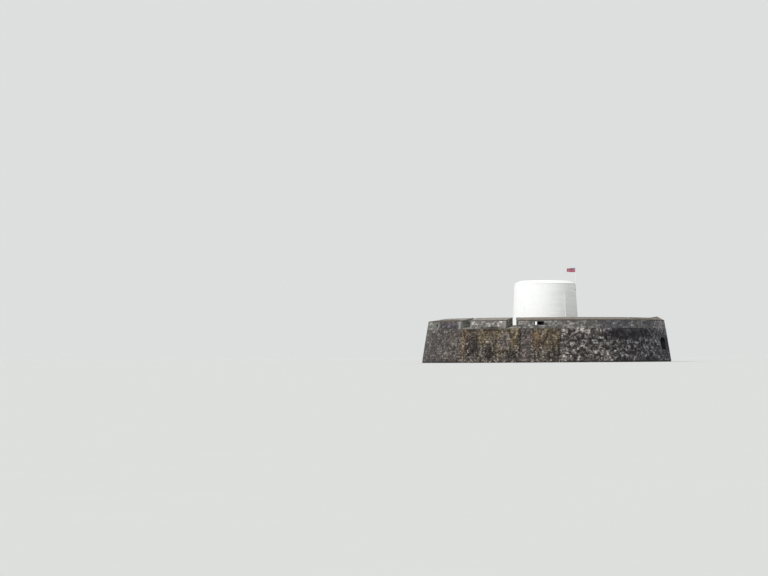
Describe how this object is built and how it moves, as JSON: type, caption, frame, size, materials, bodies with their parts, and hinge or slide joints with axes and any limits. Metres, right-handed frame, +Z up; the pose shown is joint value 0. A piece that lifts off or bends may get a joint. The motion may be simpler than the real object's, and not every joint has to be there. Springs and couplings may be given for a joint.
{
  "type": "martello tower in a round gun battery",
  "caption": "White battered round tower inside a low round granite battery with splayed gun embrasures, a ramped gateway, a flagpole and a flag.",
  "frame": {"origin": "middle of the battery at the lowest foot of its wall", "axes": "+Z up; -Y is the front seen in the picture; +X is the gateway side"},
  "size_m": [39.5998, 39.5997, 15.07],
  "materials": {
    "scarp_stone": "coursed granite rubble, grey with pale and dark stones",
    "castle_stone": "rough old rubble, ochre and brown",
    "parapet_stone": "coursed granite rubble",
    "capping_stone": "sloping dressed granite, pale pinkish",
    "dressed_stone": "dressed granite",
    "paving_stone": "worn granite paving",
    "fill_rubble": "rubble and earth fill",
    "whitewash": "coursed granite painted white, matt",
    "vault_masonry": "limewashed vault with a paved top",
    "floor_timber": "unpainted boards and joists",
    "door_timber": "oak planks",
    "pipe_paint": "white paint",
    "pole_paint": "white gloss paint",
    "wrought_iron": "black painted iron",
    "bunting": "red woven flag cloth with a dark blue canton"
  },
  "bodies": {
    "root": {"castle_wall_left": "castle_stone", "castle_wall_front": "castle_stone", "scarp_front": "scarp_stone", "scarp_front_right": "scarp_stone", "scarp_back_right": "scarp_stone", "scarp_back": "scarp_stone", "scarp_back_left": "scarp_stone", "scarp_left": "scarp_stone", "gateway_base": "scarp_stone", "gateway_wall_left": "scarp_stone", "gateway_wall_right": "scarp_stone", "gateway_crown": "scarp_stone", "gateway_surround": "dressed_stone", "gateway_ramp": "paving_stone", "ramp_walls": "scarp_stone", "courtyard_fill": "fill_rubble", "courtyard_paving": "paving_stone", "merlon_back_left": "parapet_stone", "merlon_left_back": "parapet_stone", "merlon_left": "parapet_stone", "merlon_left_front": "parapet_stone", "merlon_front_left": "parapet_stone", "merlon_front": "parapet_stone", "merlon_front_right": "parapet_stone", "merlon_gate_side": "parapet_stone", "merlon_back": "parapet_stone", "parapet_capping": "capping_stone", "embrasure_sills": "capping_stone", "loophole_lintel": "dressed_stone", "tower_wall_front_left": "whitewash", "tower_wall_front_right": "whitewash", "tower_wall_back": "whitewash", "tower_wall_door_left": "whitewash", "tower_wall_door_right": "whitewash", "tower_wall_over_door": "whitewash", "tower_parapet": "whitewash", "roof_vault": "vault_masonry", "first_floor": "floor_timber", "ground_floor": "paving_stone", "door_frame": "door_timber", "door_leaf": "door_timber", "downpipe": "pipe_paint", "flagpole": "pole_paint", "pole_brackets": "wrought_iron", "flag": "bunting"}
  },
  "joints": []
}
